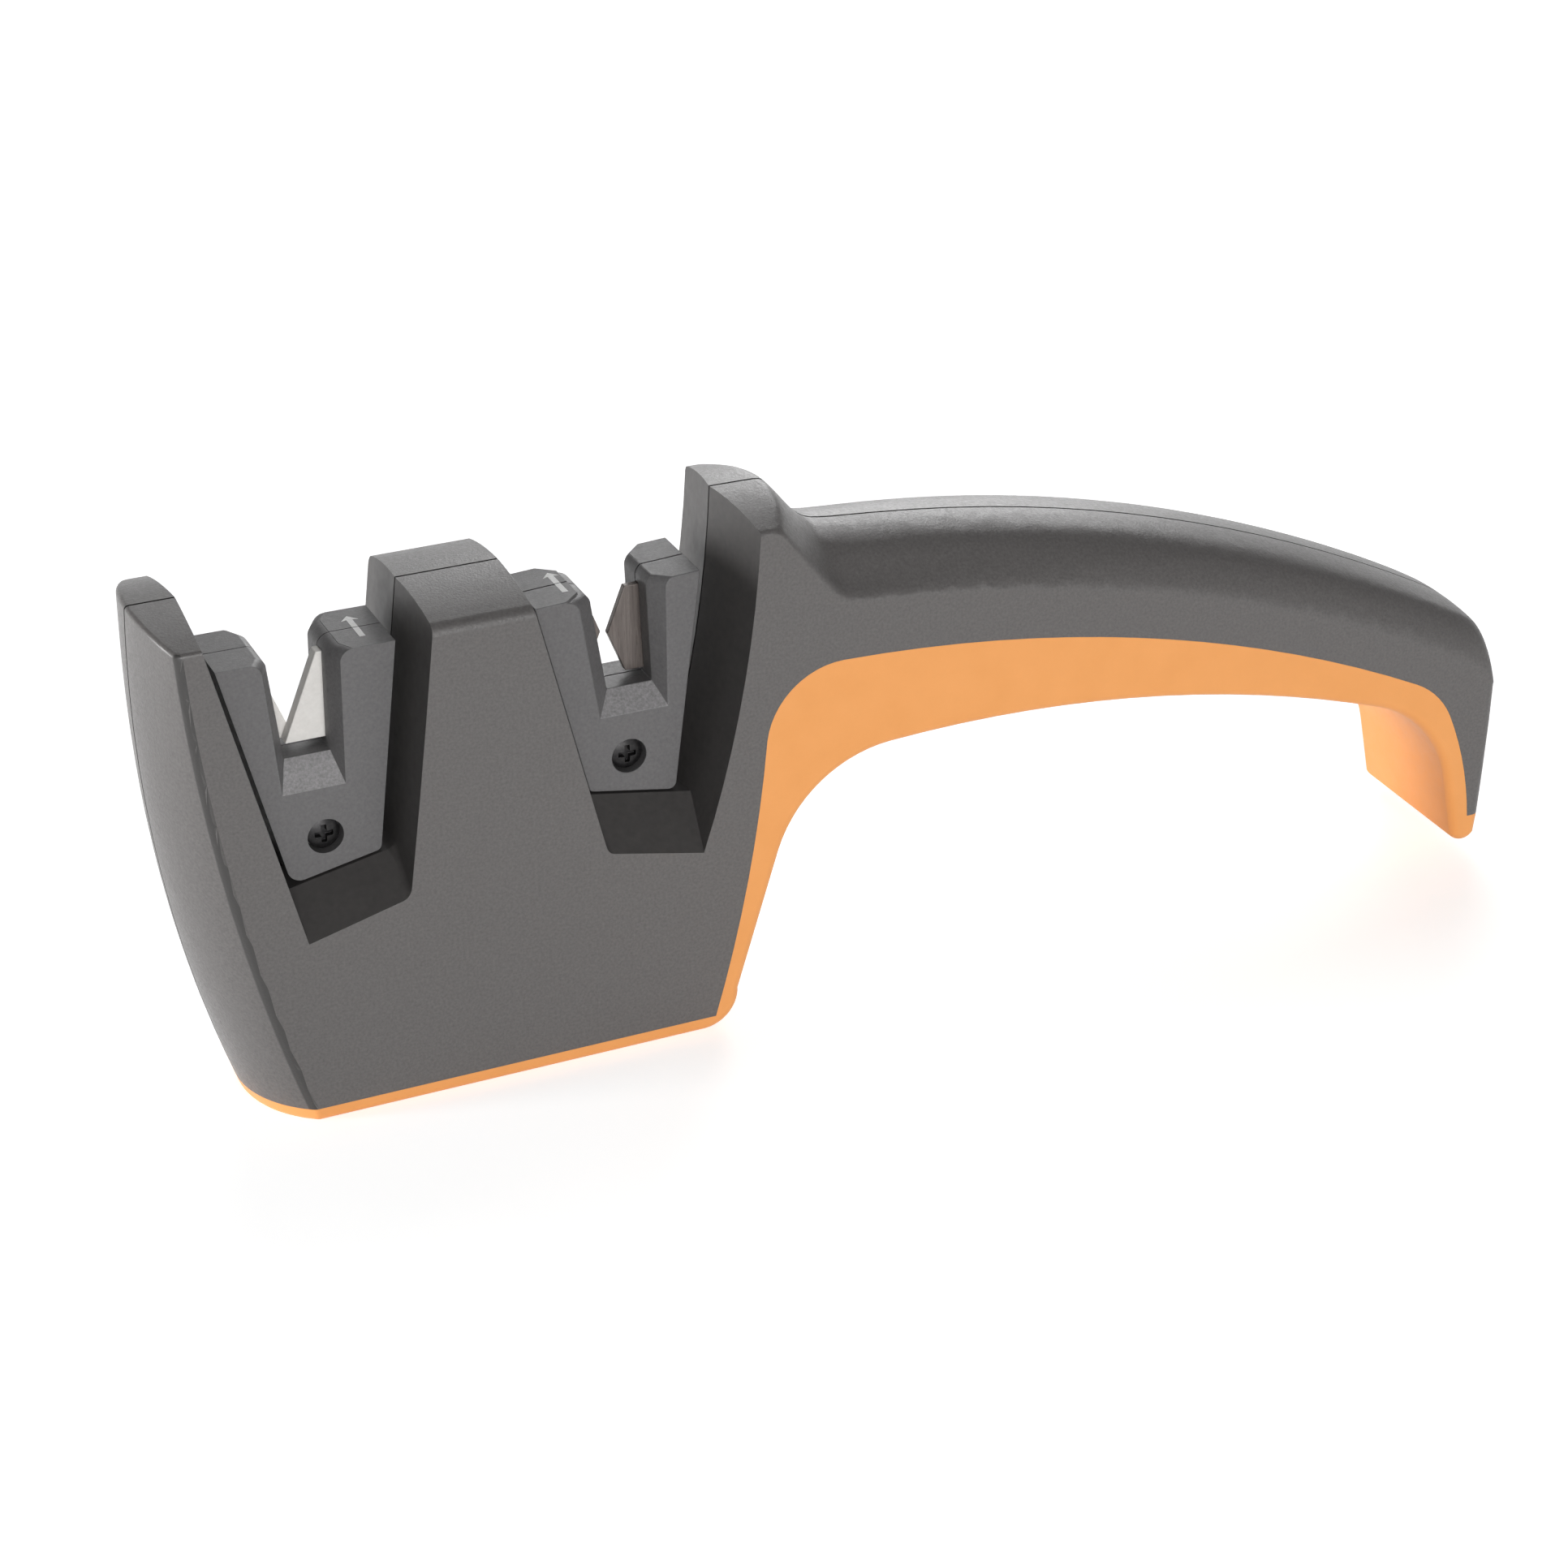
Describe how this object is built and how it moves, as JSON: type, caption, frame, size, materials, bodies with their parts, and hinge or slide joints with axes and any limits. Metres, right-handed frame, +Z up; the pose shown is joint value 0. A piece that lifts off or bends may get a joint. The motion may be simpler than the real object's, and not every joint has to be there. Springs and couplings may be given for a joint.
{
  "type": "pull through knife sharpener",
  "caption": "Hand-held pull through knife sharpener with a grey housing, an orange sole and hooked handle grip, and lift-out ceramic and carbide cassettes.",
  "frame": {"origin": "middle of the flat sole that stands on the table, halfway across the width", "axes": "X along the length with the handle at +X, Y across the width, Z up"},
  "size_m": [0.2242, 0.028, 0.0847],
  "materials": {
    "grey_housing": "fine texture",
    "grey_cassette": "smooth matte",
    "orange_grip": "soft matte",
    "white_ceramic": "fine ground",
    "dark_carbide": "ground",
    "black_screw": "black oxide"
  },
  "bodies": {
    "housing": {"near_shell": "grey_housing", "far_shell": "grey_housing", "soft_grip": "orange_grip", "shell_screw_base_front": "black_screw", "shell_screw_base_rear": "black_screw", "shell_screw_centre_block": "black_screw", "shell_screw_handle_front": "black_screw", "shell_screw_handle_rear": "black_screw"},
    "ceramic_cassette": {"ceramic_far_half": "grey_cassette", "ceramic_far_stone": "white_ceramic"},
    "ceramic_cover": {"ceramic_near_half": "grey_cassette", "ceramic_near_stone": "white_ceramic", "ceramic_screw": "black_screw"},
    "carbide_cassette": {"carbide_far_half": "grey_cassette", "carbide_far_blade": "dark_carbide"},
    "carbide_cover": {"carbide_near_half": "grey_cassette", "carbide_near_blade": "dark_carbide", "carbide_screw": "black_screw"}
  },
  "joints": [
    {"name": "ceramic_lift", "type": "slide", "parent": "housing", "child": "ceramic_cassette", "axis": [0, 0, 1], "range_m": [0, 0.05]},
    {"name": "ceramic_cover_off", "type": "slide", "parent": "ceramic_cassette", "child": "ceramic_cover", "axis": [0, -1, 0], "range_m": [0, 0.025]},
    {"name": "carbide_lift", "type": "slide", "parent": "housing", "child": "carbide_cassette", "axis": [0, 0, 1], "range_m": [0, 0.05]},
    {"name": "carbide_cover_off", "type": "slide", "parent": "carbide_cassette", "child": "carbide_cover", "axis": [0, -1, 0], "range_m": [0, 0.025]}
  ]
}
